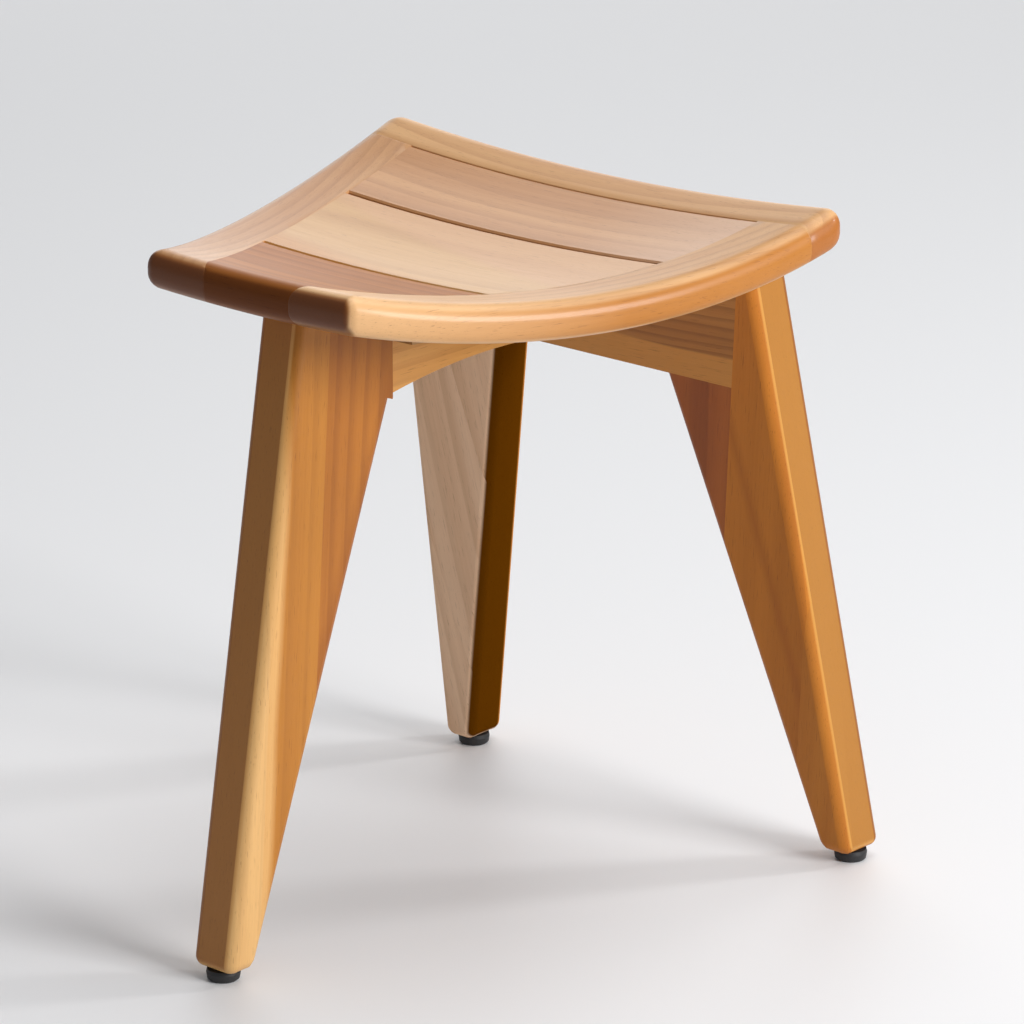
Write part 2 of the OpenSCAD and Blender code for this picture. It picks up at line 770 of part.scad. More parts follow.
module insert(which) color("goldenrod") centred() at_foot(which) translate([0, 0, foot_z])
    difference() {
        cylinder(d = insert_d, h = insert_len, $fn = small_fn);
        translate([0, 0, -over])
            cylinder(d = stem_d + stem_clearance * 2, h = insert_len + over * 2, $fn = small_fn);
    }

// Steel stem with its flange
module stem_shape() {
    chamfer = 1;
    rotate_extrude($fn = small_fn)
        polygon([[0, flange_z], [flange_d / 2, flange_z], [flange_d / 2, flange_z + flange_t],
            [stem_d / 2, flange_z + flange_t], [stem_d / 2, pad_h + stem_len - chamfer],
            [stem_d / 2 - chamfer, pad_h + stem_len], [0, pad_h + stem_len]]);
}

module stem(which) color("silver") centred() at_foot(which) stem_shape();

module pad(which) color("black") centred() at_foot(which) difference() {
    // Width of the bevel round the sole, and of the bevel round the upper edge
    sole = 1.2;
    rim = sole / 2;
    rotate_extrude($fn = small_fn)
        polygon([[0, 0], [pad_d / 2 - sole - rim, 0], [pad_d / 2 - rim, sole],
            [pad_d / 2, pad_h - sole * 2], [pad_d / 2 - rim, pad_h], [0, pad_h]]);
    stem_shape();
}

module front_insert() insert(0);
module right_insert() insert(1);
module left_insert() insert(2);
module front_stem() stem(0);
module right_stem() stem(1);
module left_stem() stem(2);
module front_pad() pad(0);
module right_pad() pad(1);
module left_pad() pad(2);

left_rail();
right_rail();
back_rail();
front_slat();
middle_slat();
back_slat();
slat_dowels();
corner_dowels();
front_leg_inner_board();
front_leg_middle_board();
front_leg_outer_board();
left_leg_inner_board();
left_leg_middle_board();
left_leg_outer_board();
right_leg_inner_board();
right_leg_middle_board();
right_leg_outer_board();
spine_rail();
cross_rail();
left_cleat();
right_cleat();
spine_dowels();
lap_dowels();
seat_dowels();
cleat_screws();
seat_screws();
front_insert();
left_insert();
right_insert();
front_stem();
left_stem();
right_stem();
front_pad();
left_pad();
right_pad();
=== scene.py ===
import math

import bpy
from mathutils import Matrix, Vector


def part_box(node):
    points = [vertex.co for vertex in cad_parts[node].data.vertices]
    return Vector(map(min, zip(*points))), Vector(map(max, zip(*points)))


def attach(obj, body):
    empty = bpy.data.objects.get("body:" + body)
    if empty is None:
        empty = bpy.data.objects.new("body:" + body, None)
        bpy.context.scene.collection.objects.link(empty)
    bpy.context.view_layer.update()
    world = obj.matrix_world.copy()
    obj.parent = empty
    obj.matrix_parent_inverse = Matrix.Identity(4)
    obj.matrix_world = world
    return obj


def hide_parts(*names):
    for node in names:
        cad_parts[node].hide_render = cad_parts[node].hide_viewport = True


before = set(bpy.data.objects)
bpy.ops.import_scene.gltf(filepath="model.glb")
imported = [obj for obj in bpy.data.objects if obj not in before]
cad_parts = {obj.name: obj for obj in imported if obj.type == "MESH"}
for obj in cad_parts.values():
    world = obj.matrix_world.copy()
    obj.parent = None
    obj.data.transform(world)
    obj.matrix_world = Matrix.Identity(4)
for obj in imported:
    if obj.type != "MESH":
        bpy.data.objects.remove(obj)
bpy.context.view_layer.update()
bpy.ops.object.select_all(action="DESELECT")


# The front leg: one plank in the stool's middle plane, glued up from three boards. The glue lines
# lean less than its outer edge, so the pale outer board widens towards the foot.
# Oiled hardwood, planed and sanded, with its long edges rounded over.


def lay(grain, face):
    """The turn that lays a board's grain along X, with its wide face towards Z."""
    along = Vector(grain).normalized()
    out = Vector(face) - Vector(face).dot(along) * along
    out.normalize()
    return Matrix((along, out.cross(along), out)).to_euler()


def timber_group():
    """Growth rings, fibres, pores and slow streaks of one board, in metres along X."""
    group = bpy.data.node_groups.new("timber", "ShaderNodeTree")
    group.interface.new_socket("Vector", in_out="INPUT", socket_type="NodeSocketVector")
    for name in ("Ring width", "Waviness"):
        group.interface.new_socket(name, in_out="INPUT", socket_type="NodeSocketFloat")
    for name in ("Rings", "Streaks", "Fibres", "Pores", "Height"):
        group.interface.new_socket(name, in_out="OUTPUT", socket_type="NodeSocketFloat")
    nodes, links = group.nodes, group.links
    entry = nodes.new("NodeGroupInput")
    leave = nodes.new("NodeGroupOutput")

    def drawn_out(scale, detail, roughness):
        """Noise that is drawn out along the grain."""
        spread = nodes.new("ShaderNodeMapping")
        spread.inputs["Scale"].default_value = scale
        noise = nodes.new("ShaderNodeTexNoise")
        noise.inputs["Scale"].default_value = 1.0
        noise.inputs["Detail"].default_value = detail
        noise.inputs["Roughness"].default_value = roughness
        links.new(entry.outputs["Vector"], spread.inputs["Vector"])
        links.new(spread.outputs["Vector"], noise.inputs["Vector"])
        return noise.outputs["Fac"]

    def reckoned(operation, *values):
        node = nodes.new("ShaderNodeMath")
        node.operation = operation
        for socket, value in zip(node.inputs, values):
            if isinstance(value, (int, float)):
                socket.default_value = value
            else:
                links.new(value, socket)
        return node.outputs["Value"]

    def eased_in(value, low, high):
        """Nought below low, one above high, and a soft rise between them."""
        node = nodes.new("ShaderNodeMapRange")
        node.interpolation_type = "SMOOTHSTEP"
        node.inputs["From Min"].default_value = low
        node.inputs["From Max"].default_value = high
        links.new(value, node.inputs["Value"])
        return node.outputs["Result"]

    # Rings round the pith, which runs along X through the texture's own origin
    parts = nodes.new("ShaderNodeSeparateXYZ")
    links.new(entry.outputs["Vector"], parts.inputs["Vector"])
    across = reckoned("MULTIPLY", parts.outputs["Y"], parts.outputs["Y"])
    square = reckoned("MULTIPLY_ADD", parts.outputs["Z"], parts.outputs["Z"], across)
    radius = reckoned("SQRT", square)
    drift = reckoned("SUBTRACT", drawn_out((2.2, 14.0, 14.0), 3.0, 0.45), 0.5)
    bent = reckoned("MULTIPLY_ADD", drift, entry.outputs["Waviness"], radius)
    year = reckoned("FRACT", reckoned("DIVIDE", bent, entry.outputs["Ring width"]))
    late_wood = eased_in(year, 0.35, 0.93)
    before_spring = reckoned("SUBTRACT", 1.0, eased_in(year, 0.93, 1.0))
    rings = reckoned("MULTIPLY", late_wood, before_spring)
    streaks = eased_in(drawn_out((0.9, 38.0, 38.0), 4.0, 0.55), 0.30, 0.70)
    fibres = drawn_out((9.0, 760.0, 760.0), 3.0, 0.6)
    pores = eased_in(drawn_out((70.0, 1900.0, 1900.0), 2.0, 0.5), 0.63, 0.72)
    height = reckoned("MULTIPLY_ADD", pores, -0.7, reckoned("MULTIPLY", fibres, 0.6))
    for name, value in (
        ("Rings", rings),
        ("Streaks", streaks),
        ("Fibres", fibres),
        ("Pores", pores),
        ("Height", height),
    ):
        links.new(value, leave.inputs[name])
    return group


def outlook_group():
    """Finds the faces of a board that look one way, and the middle of the arrises round them."""
    group = bpy.data.node_groups.new("outlook", "ShaderNodeTree")
    group.interface.new_socket("Direction", in_out="INPUT", socket_type="NodeSocketVector")
    group.interface.new_socket("Facing", in_out="OUTPUT", socket_type="NodeSocketFloat")
    group.interface.new_socket("Arris", in_out="OUTPUT", socket_type="NodeSocketFloat")
    nodes, links = group.nodes, group.links
    entry = nodes.new("NodeGroupInput")
    leave = nodes.new("NodeGroupOutput")
    place = nodes.new("ShaderNodeTexCoord")
    dot = nodes.new("ShaderNodeVectorMath")
    dot.operation = "DOT_PRODUCT"
    links.new(place.outputs["Normal"], dot.inputs[0])
    links.new(entry.outputs["Direction"], dot.inputs[1])
    away = nodes.new("ShaderNodeMath")
    away.operation = "SUBTRACT"
    away.inputs[1].default_value = 0.74
    links.new(dot.outputs["Value"], away.inputs[0])
    near = nodes.new("ShaderNodeMath")
    near.operation = "ABSOLUTE"
    links.new(away.outputs["Value"], near.inputs[0])
    for source, low, high, name in (
        (dot.outputs["Value"], 0.60, 0.82, "Facing"),
        (near.outputs["Value"], 0.20, 0.04, "Arris"),
    ):
        ramp = nodes.new("ShaderNodeMapRange")
        ramp.interpolation_type = "SMOOTHSTEP"
        ramp.inputs["From Min"].default_value = low
        ramp.inputs["From Max"].default_value = high
        links.new(source, ramp.inputs["Value"])
        links.new(ramp.outputs["Result"], leave.inputs[name])
    return group


def strip_group():
    """A strip of a board: all that lies within Reach of a plane through Place, square to Across."""
    group = bpy.data.node_groups.new("strip", "ShaderNodeTree")
    for name, kind in (
        ("Vector", "NodeSocketVector"),
        ("Place", "NodeSocketVector"),
        ("Across", "NodeSocketVector"),
        ("Reach", "NodeSocketFloat"),
        ("Softness", "NodeSocketFloat"),
    ):
        group.interface.new_socket(name, in_out="INPUT", socket_type=kind)
    group.interface.new_socket("Inside", in_out="OUTPUT", socket_type="NodeSocketFloat")
    nodes, links = group.nodes, group.links
    entry = nodes.new("NodeGroupInput")
    leave = nodes.new("NodeGroupOutput")
    drift = nodes.new("ShaderNodeTexNoise")
    drift.inputs["Scale"].default_value = 9.0
    drift.inputs["Detail"].default_value = 1.0
    shift = nodes.new("ShaderNodeMath")
    shift.operation = "MULTIPLY_ADD"
    shift.inputs[1].default_value = 0.006
    away = nodes.new("ShaderNodeVectorMath")
    away.operation = "SUBTRACT"
    dot = nodes.new("ShaderNodeVectorMath")
    dot.operation = "DOT_PRODUCT"
    near = nodes.new("ShaderNodeMath")
    near.operation = "ABSOLUTE"
    deep = nodes.new("ShaderNodeMath")
    deep.operation = "SUBTRACT"
    share = nodes.new("ShaderNodeMath")
    share.operation = "DIVIDE"
    half = nodes.new("ShaderNodeMath")
    half.operation = "ADD"
    half.use_clamp = True
    half.inputs[1].default_value = 0.5
    links.new(entry.outputs["Vector"], drift.inputs["Vector"])
    links.new(entry.outputs["Vector"], away.inputs[0])
    links.new(entry.outputs["Place"], away.inputs[1])
    links.new(away.outputs["Vector"], dot.inputs[0])
    links.new(entry.outputs["Across"], dot.inputs[1])
    links.new(dot.outputs["Value"], near.inputs[0])
    links.new(drift.outputs["Fac"], shift.inputs[0])
    links.new(near.outputs["Value"], shift.inputs[2])
    links.new(entry.outputs["Reach"], deep.inputs[0])
    links.new(shift.outputs["Value"], deep.inputs[1])
    links.new(deep.outputs["Value"], share.inputs[0])
    links.new(entry.outputs["Softness"], share.inputs[1])
    links.new(share.outputs["Value"], half.inputs[0])
    links.new(half.outputs["Value"], leave.inputs["Inside"])
    return group


timber = timber_group()
outlook = outlook_group()
strip = strip_group()


def oiled_board(name, pale, body, dark, turn, pith, ring_width=0.006, waviness=0.010,
                ring_show=0.5, layers=(), arris=None, gloss=0.12, shine=0.32):
    """Material of one board: three tones of the wood, the board's lie and the place of its pith.

    layers: (direction, tone, share) for faces that look one way and get another tone, mostly
    painted shade or a painted highlight, or (place, across, reach, softness, tone, share) for a
    strip of another tone, some of them painted sheen, in turn
    arris: (direction, tone, share) for a painted highlight along the middle of the arrises round a
    face
    gloss, shine: how much oil lies on the board, and how much light the wood itself throws back
    """
    material = bpy.data.materials.new(name)
    material.use_nodes = True
    nodes, links = material.node_tree.nodes, material.node_tree.links
    shader = nodes["Principled BSDF"]
    place = nodes.new("ShaderNodeTexCoord")
    mapping = nodes.new("ShaderNodeMapping")
    mapping.inputs["Rotation"].default_value = turn
    mapping.inputs["Location"].default_value = pith
    figure = nodes.new("ShaderNodeGroup")
    figure.node_tree = timber
    figure.inputs["Ring width"].default_value = ring_width
    figure.inputs["Waviness"].default_value = waviness
    links.new(place.outputs["Object"], mapping.inputs["Vector"])
    links.new(mapping.outputs["Vector"], figure.inputs["Vector"])

    def blended(first, second, share, strength=1.0, blend="MIX"):
        """The second tone laid over the first one by a share."""
        node = nodes.new("ShaderNodeMix")
        node.data_type = "RGBA"
        node.blend_type = blend
        for socket, value in ((node.inputs["A"], first), (node.inputs["B"], second)):
            if isinstance(value, tuple):
                socket.default_value = (*value, 1.0)
            else:
                links.new(value, socket)
        amount = nodes.new("ShaderNodeMath")
        amount.operation = "MULTIPLY"
        amount.inputs[1].default_value = strength
        links.new(share, amount.inputs[0])
        links.new(amount.outputs["Value"], node.inputs["Factor"])
        return node.outputs["Result"]

    def looking(direction, output):
        """How far a face looks that way, or how near a place is to the middle of its arris."""
        node = nodes.new("ShaderNodeGroup")
        node.node_tree = outlook
        node.inputs["Direction"].default_value = Vector(direction).normalized()
        return node.outputs[output]

    colour = blended(pale, body, figure.outputs["Streaks"])
    colour = blended(colour, dark, figure.outputs["Rings"], ring_show)
    for *where, tone, share in layers:
        if len(where) == 1:
            colour = blended(colour, tone, looking(where[0], "Facing"), share)
        else:
            node = nodes.new("ShaderNodeGroup")
            node.node_tree = strip
            for socket, value in zip(("Place", "Across", "Reach", "Softness"), where):
                node.inputs[socket].default_value = value
            links.new(place.outputs["Object"], node.inputs["Vector"])
            colour = blended(colour, tone, node.outputs["Inside"], share)
    fibre_shade, pore_shade = (0.58, 0.50, 0.42), (0.40, 0.32, 0.26)
    colour = blended(colour, fibre_shade, figure.outputs["Fibres"], 0.30, "MULTIPLY")
    colour = blended(colour, pore_shade, figure.outputs["Pores"], 0.50, "MULTIPLY")
    if arris:
        colour = blended(colour, arris[1], looking(arris[0], "Arris"), arris[2])
    links.new(colour, shader.inputs["Base Color"])
    rough = nodes.new("ShaderNodeMapRange")
    rough.inputs["To Min"].default_value = 0.36
    rough.inputs["To Max"].default_value = 0.50
    links.new(figure.outputs["Fibres"], rough.inputs["Value"])
    links.new(rough.outputs["Result"], shader.inputs["Roughness"])
    bump = nodes.new("ShaderNodeBump")
    bump.inputs["Strength"].default_value = 0.10
    bump.inputs["Distance"].default_value = 0.0004
    links.new(figure.outputs["Height"], bump.inputs["Height"])
    links.new(bump.outputs["Normal"], shader.inputs["Normal"])
    shader.inputs["Specular IOR Level"].default_value = shine
    shader.inputs["Coat Weight"].default_value = gloss
    shader.inputs["Coat Roughness"].default_value = 0.16
    return material


def finish_node(node, material):
    """Gives a CAD node its material, and lets its own normals tell curved faces from flat ones."""
    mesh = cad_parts[node].data
    mesh.materials.clear()
    mesh.materials.append(material)
    mesh.polygons.foreach_set("use_smooth", [True] * len(mesh.polygons))


def alone(piece):
    """Makes a piece the only one that is selected and active."""
    bpy.ops.object.select_all(action="DESELECT")
    piece.select_set(True)
    bpy.context.view_layer.objects.active = piece


foot_rounding, foot_steps = 0.0072, 7


def rounded_foot(node, name, foot, material):
    """A leg's outer board with its lower end rounded over all round, in its node's place.

    The end is cut off above the rounding. Its rim is then drawn down and inward step by step, but
    straight down round the foot's bore, and the two rims are closed by the sole.
    """
    board = bpy.data.objects.new(name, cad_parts[node].data.copy())
    bpy.context.scene.collection.objects.link(board)
    board.data.materials.clear()
    board.data.materials.append(material)
    alone(board)
    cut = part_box(node)[0][2] + foot_rounding
    on_cut, near_cut, bore_reach = 0.000005, 0.00003, 0.008
    mesh = board.data
    bpy.ops.object.mode_set(mode="EDIT")
    bpy.ops.mesh.customdata_custom_splitnormals_clear()
    bpy.ops.mesh.select_all(action="SELECT")
    bpy.ops.mesh.remove_doubles(threshold=0.000002)
    bpy.ops.mesh.bisect(plane_co=(0, 0, cut), plane_no=(0, 0, 1), clear_inner=True,
                        threshold=0.000001)
    bpy.ops.mesh.select_all(action="SELECT")
    bpy.ops.mesh.remove_doubles(threshold=0.00002)
    bpy.ops.mesh.select_all(action="DESELECT")
    bpy.ops.mesh.select_mode(type="EDGE")
    bpy.ops.object.mode_set(mode="OBJECT")
    # Corners that all but lie on the cut are moved onto it, so that the rim has no break
    for point in mesh.vertices:
        if abs(point.co.z - cut) < near_cut:
            point.co.z = cut
    leaning = {}
    for face in mesh.polygons:
        for corner in face.vertices:
            if abs(mesh.vertices[corner].co.z - cut) < on_cut:
                leaning[corner] = leaning.get(corner, Vector()) + face.normal * face.area
    rim = {}
    for corner, normal in leaning.items():
        point = mesh.vertices[corner].co.copy()
        level = Vector((normal.x, normal.y, 0))
        bored = math.hypot(point.x - foot[0], point.y - foot[1]) < bore_reach
        rim[tuple(point)] = (point, level.normalized(), normal.z / level.length, bored)
    for edge in mesh.edges:
        edge.select = all(tuple(mesh.vertices[i].co) in rim for i in edge.vertices)
    for step in range(1, foot_steps + 1):
        turn = math.radians(90 * step / foot_steps)
        drop, inset = foot_rounding * math.sin(turn), foot_rounding * (1 - math.cos(turn))
        bpy.ops.object.mode_set(mode="EDIT")
        bpy.ops.mesh.extrude_edges_move()
        bpy.ops.object.mode_set(mode="OBJECT")
        lower_rim = {}
        for point in mesh.vertices:
            if point.select:
                start, outward, slope, bored = rim[tuple(point.co)]
                shift = 0 if bored else slope * drop - inset
                point.co = start + outward * shift - Vector((0, 0, drop))
                lower_rim[tuple(point.co)] = (start, outward, slope, bored)
        rim = lower_rim
    bpy.ops.object.mode_set(mode="EDIT")
    bpy.ops.mesh.bridge_edge_loops()
    bpy.ops.mesh.select_all(action="SELECT")
    bpy.ops.mesh.normals_make_consistent(inside=False)
    bpy.ops.object.mode_set(mode="OBJECT")
    bpy.ops.object.shade_smooth_by_angle(angle=math.radians(35))
    flats = board.modifiers.new("flat_faces_first", "WEIGHTED_NORMAL")
    flats.keep_sharp = True
    flats.weight = 100
    bpy.ops.object.modifier_apply(modifier=flats.name)
    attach(board, "stool")
    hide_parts(node)


def pad_middle(node):
    """Where a foot's pad stands, seen from above."""
    low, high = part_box(node)
    return (low[0] + high[0]) / 2, (low[1] + high[1]) / 2


front_grain = lay((0, 0.071, 0.997), (1, 0, 0))
front_dark_vein = ((0.018, -0.1405, 0.3), (0, 1, -0.07), 0.004, 0.006, (0.20, 0.05, 0.005), 0.7)
front_knee_vein = ((0.018, -0.098, 0.3), (0, 0.92, -0.38), 0.006, 0.014, (0.24, 0.06, 0.006), 0.6)
front_pale_strip = (
    (0.018, -0.2768, 0.2476), (0, -0.9965, 0.084), 0.105, 0.006, (0.74, 0.42, 0.15), 0.85)
# Painted shade: the front leg's narrow front face, which the light leaves, gets a darker tone
front_narrow_face_painted_shade = ((-0.38, -0.92, 0.05), (0.38, 0.125, 0.014), 0.92)
# Painted highlight: a pale line along the middle of the front leg's arrises
front_arris_painted_highlight = ((-0.45, -0.89, 0.05), (0.80, 0.46, 0.16), 0.5)
finish_node("front_leg_inner_board", oiled_board(
    "front_leg_inner_wood", (0.46, 0.165, 0.019), (0.375, 0.125, 0.0126), (0.20, 0.052, 0.005),
    front_grain, (0.0, 0.19, 0.06), ring_width=0.013, ring_show=0.3, gloss=0.05,
    layers=(front_dark_vein, front_knee_vein)))
finish_node("front_leg_middle_board", oiled_board(
    "front_leg_middle_wood", (0.53, 0.215, 0.027), (0.45, 0.171, 0.0194), (0.30, 0.10, 0.010),
    front_grain, (0.3, 0.21, -0.05), ring_width=0.016, ring_show=0.25, gloss=0.05,
    arris=front_arris_painted_highlight, layers=(front_pale_strip, front_narrow_face_painted_shade)))
front_outer_wood = oiled_board(
    "front_leg_outer_wood", (0.74, 0.44, 0.17), (0.64, 0.36, 0.13), (0.48, 0.23, 0.07),
    front_grain, (0.7, 0.24, 0.04), ring_width=0.016, ring_show=0.2, gloss=0.05,
    arris=front_arris_painted_highlight, layers=(front_narrow_face_painted_shade,))
rounded_foot("front_leg_outer_board", "front_leg_lower_outer_board", pad_middle("front_pad"),
             front_outer_wood)

# The two back legs: planks like the front one, both in the cross rail's plane, which slopes
# backward going down. Their glue lines lean inward, so the darker inner board, housed for the
# cross rail, ends in a point.

right_grain = lay((0.190, -0.187, 0.963), (0, 0.98, 0.19))
left_grain = lay((-0.08, -0.187, 0.978), (0, 0.98, 0.19))
right_dark_vein = ((0.1548, 0.20, 0.12), (0.98, 0, 0.17), 0.004, 0.010, (0.34, 0.09, 0.008), 0.6)
# Painted shade: the right leg's narrow outer face gets a darker tone than its broad face
right_narrow_face_painted_shade = ((0.87, 0.49, 0.06), (0.290, 0.094, 0.005), 0.95)
# Painted highlight: a pale line along the middle of the right leg's arrises
right_arris_painted_highlight = ((0.87, 0.49, 0.06), (0.74, 0.38, 0.09), 0.6)
finish_node("right_leg_inner_board", oiled_board(
    "right_leg_inner_wood", (0.46, 0.125, 0.012), (0.37, 0.094, 0.0085), (0.20, 0.040, 0.004),
    right_grain, (0.0, 0.03, 0.05), ring_width=0.009, ring_show=0.4, gloss=0.05))
finish_node("right_leg_middle_board", oiled_board(
    "right_leg_middle_wood", (0.63, 0.22, 0.025), (0.54, 0.18, 0.0185), (0.36, 0.10, 0.009),
    right_grain, (0.4, -0.08, 0.07), ring_width=0.014, ring_show=0.4, gloss=0.05, shine=0.2,
    arris=right_arris_painted_highlight, layers=(right_dark_vein, right_narrow_face_painted_shade)))
right_outer_wood = oiled_board(
    "right_leg_outer_wood", (0.60, 0.22, 0.027), (0.52, 0.175, 0.020), (0.38, 0.11, 0.011),
    right_grain, (0.9, -0.12, 0.04), ring_width=0.012, ring_show=0.3, gloss=0.05, shine=0.2,
    arris=right_arris_painted_highlight, layers=(right_narrow_face_painted_shade,))
rounded_foot("right_leg_outer_board", "right_leg_lower_outer_board", pad_middle("right_pad"),
             right_outer_wood)
# Painted sheen: the left leg's tones are much paler and pinker than the other legs, and its oil and
# wood throw back no light
left_tones_with_painted_sheen = (0.95, 0.67, 0.46), (0.85, 0.56, 0.36), (0.60, 0.335, 0.175)
# Painted shade: the left leg's inner face, under the seat, gets a nearly black-brown tone
left_inner_face_painted_shade = ((0.95, -0.30, -0.1), (0.108, 0.034, 0.001), 1.0)
# Painted highlight: an orange rim along the left leg's far arris, which also tints its back face
left_far_arris_painted_highlight = ((0.5, 0.87, 0), (0.62, 0.25, 0.05), 0.8)
for node, pith, ring_width in (
    ("left_leg_inner_board", (1.3, 0.03, 0.05), 0.012),
    ("left_leg_middle_board", (1.7, -0.08, 0.07), 0.014),
):
    finish_node(node, oiled_board(
        f"{node}_wood", *left_tones_with_painted_sheen, left_grain, pith, ring_width=ring_width, ring_show=0.3,
        gloss=0.0, shine=0.0, layers=(left_inner_face_painted_shade, left_far_arris_painted_highlight)))
left_outer_wood = oiled_board(
    "left_leg_outer_wood", *left_tones_with_painted_sheen, left_grain, (2.2, -0.12, 0.04), ring_width=0.012,
    ring_show=0.3, gloss=0.0, shine=0.0, layers=(left_inner_face_painted_shade, left_far_arris_painted_highlight))
rounded_foot("left_leg_outer_board", "left_leg_lower_outer_board", pad_middle("left_pad"),
             left_outer_wood)

# The rails under the seat: the cross rail between the back legs, and the spine rail from the
# front leg to it, with a cleat screwed to each side that holds the slats.

cross_pale_strip = ((0, 0.15, 0.346), (0, 0, 1), 0.013, 0.0015, (0.66, 0.29, 0.055), 0.9)
finish_node("cross_rail", oiled_board(
    "cross_rail_wood", (0.54, 0.23, 0.046), (0.44, 0.172, 0.030), (0.19, 0.060, 0.010),
    lay((1, 0, 0.04), (0, 0.98, 0.19)), (0.1, -0.36, 0.05), ring_width=0.0058, waviness=0.030,
    ring_show=0.42, gloss=0.05, layers=(cross_pale_strip,)))
finish_node("spine_rail", oiled_board(
    "spine_rail_wood", (0.72, 0.37, 0.102), (0.63, 0.295, 0.07), (0.42, 0.16, 0.03),
    lay((0, 1, 0), (1, 0, 0)), (0.5, -0.45, 0.04), ring_width=0.009, ring_show=0.3))
cleat_wood = oiled_board(
    "cleat_wood", (0.60, 0.36, 0.14), (0.50, 0.28, 0.10), (0.32, 0.15, 0.05),
    lay((0, 1, 0), (0, 0, 1)), (0.8, 0.05, -0.50), ring_width=0.005)
for node in ("left_cleat", "right_cleat"):
    finish_node(node, cleat_wood)

# The seat's frame: a bowed rail on each side and a straight rail along the back, glued to the slats
# and shaped with them as one dished blank. All its outer edges and corners are rounded over to a
# pillow shape, and the boards meet in fine joints.

seat_back_w, seat_front_w, seat_depth, seat_t = 0.391, 0.172, 0.346, 0.025
side_bow, dish_across, dish_along = 0.020, 0.0105, 0.025
side_rail_w, back_rail_w = 0.043, 0.034
corner_height = 0.464
seat_front_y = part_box("right_rail")[0][1]
seat_mid_y = seat_front_y + seat_depth / 2
# The back rail takes this much of the gap in front of it, so that only a hairline shows
gap_taken = 0.0007
rail_joint_y = seat_front_y + seat_depth - back_rail_w - gap_taken
# Roundings of the upright corners at the front and the back, and of the upper and lower edges
front_corner_r, back_corner_r, upper_edge_r, lower_edge_r = 0.0060, 0.0160, 0.0134, 0.0080


def arc_radius(half, sag):
    """Radius of an arc that sags by so much over twice the half width."""
    return (half * half + sag * sag) / (2 * sag)


# The seat's top is an arc from front to back, turned about a level axis high over the seat
across_r = arc_radius(seat_back_w / 2, dish_across)
along_r = arc_radius(seat_depth / 2, dish_along)
ring_r = across_r - along_r
dish_axis_z = corner_height + math.sqrt((across_r - dish_along) ** 2 - (seat_back_w / 2) ** 2)
# Each side is an arc through its front and back corner
side_chord = math.hypot((seat_back_w - seat_front_w) / 2, seat_depth)
side_r = arc_radius(side_chord / 2, side_bow)
side_mid = (seat_back_w + seat_front_w) / 4 - (side_r - side_bow) * seat_depth / side_chord
side_mid_y = (side_r - side_bow) * (seat_back_w - seat_front_w) / 2 / side_chord


def dished(x, y, depth):
    """Height of the seat at a place counted from its middle, depth below the top face."""
    reach = ring_r + math.sqrt((along_r + depth) ** 2 - y * y)
    return dish_axis_z - math.sqrt(reach * reach - x * x)


def side_line(y, inset):
    """How far the seat's side is from the middle plane at y, or a line inset from it."""
    return side_mid + math.sqrt((side_r - inset) ** 2 - (y - side_mid_y) ** 2)


def round_over(piece, width, steps, wanted):
    """Rounds the edges for which wanted(middle, lower normal, upper normal) holds."""
    mesh = piece.data
    faces_of = {}
    for face in mesh.polygons:
        for key in face.edge_keys:
            faces_of.setdefault(key, []).append(face.normal.copy())
    for face in mesh.polygons:
        face.select = False
    for point in mesh.vertices:
        point.select = False
    for edge in mesh.edges:
        normals = sorted(faces_of[tuple(sorted(edge.vertices))], key=lambda n: n.z)
        middle = sum((mesh.vertices[i].co for i in edge.vertices), Vector()) / 2
        edge.select = len(normals) == 2 and wanted(middle, *normals)
    alone(piece)
    bpy.ops.object.mode_set(mode="EDIT")
    bpy.ops.mesh.select_mode(type="EDGE")
    bpy.ops.mesh.bevel(offset=width, segments=steps, profile=0.5, affect="EDGES",
                       clamp_overlap=False)
    bpy.ops.object.mode_set(mode="OBJECT")


def seat_blank():
    """The whole seat as one dished blank with its outer edges rounded over.

    It starts as a grid with a border of one wide row or column, which leaves room for the rounding.
    """
    border, columns, rows = 0.020, 46, 42
    bpy.ops.object.select_all(action="DESELECT")
    bpy.ops.mesh.primitive_grid_add(x_subdivisions=columns, y_subdivisions=rows, size=2.0)
    blank = bpy.context.object
    bpy.ops.object.mode_set(mode="EDIT")
    bpy.ops.mesh.extrude_region_move(TRANSFORM_OT_translate={"value": (0, 0, -1)})
    bpy.ops.mesh.select_all(action="SELECT")
    bpy.ops.mesh.normals_make_consistent(inside=False)
    bpy.ops.object.mode_set(mode="OBJECT")
    half = seat_depth / 2
    for point in blank.data.vertices:
        row = round((point.co.y + 1) / 2 * rows)
        column = round((point.co.x + 1) / 2 * columns)
        y = math.copysign(half, point.co.y)
        if 0 < row < rows:
            y = (half - border) * (2 * (row - 1) / (rows - 2) - 1)
        x = math.copysign(side_line(y, 0), point.co.x)
        if 0 < column < columns:
            x = side_line(y, border) * (2 * (column - 1) / (columns - 2) - 1)
        point.co = (x, y + seat_mid_y, dished(x, y, 0 if point.co.z > -0.5 else seat_t))
    blank.data.update()
    corner = half - border / 2

    def upright_corner(low, up):
        return abs(low.z) + abs(up.z) < 0.2 and low.angle(up) > 0.7

    round_over(blank, front_corner_r, 8, lambda m, low, up: upright_corner(low, up)
               and m.y - seat_mid_y < -corner)
    round_over(blank, back_corner_r, 8, lambda m, low, up: upright_corner(low, up)
               and m.y - seat_mid_y > corner)
    round_over(blank, upper_edge_r, 8, lambda m, low, up: up.z > 0.7 and abs(low.z) < 0.5)
    round_over(blank, lower_edge_r, 5, lambda m, low, up: low.z < -0.7 and abs(up.z) < 0.5)
    return blank


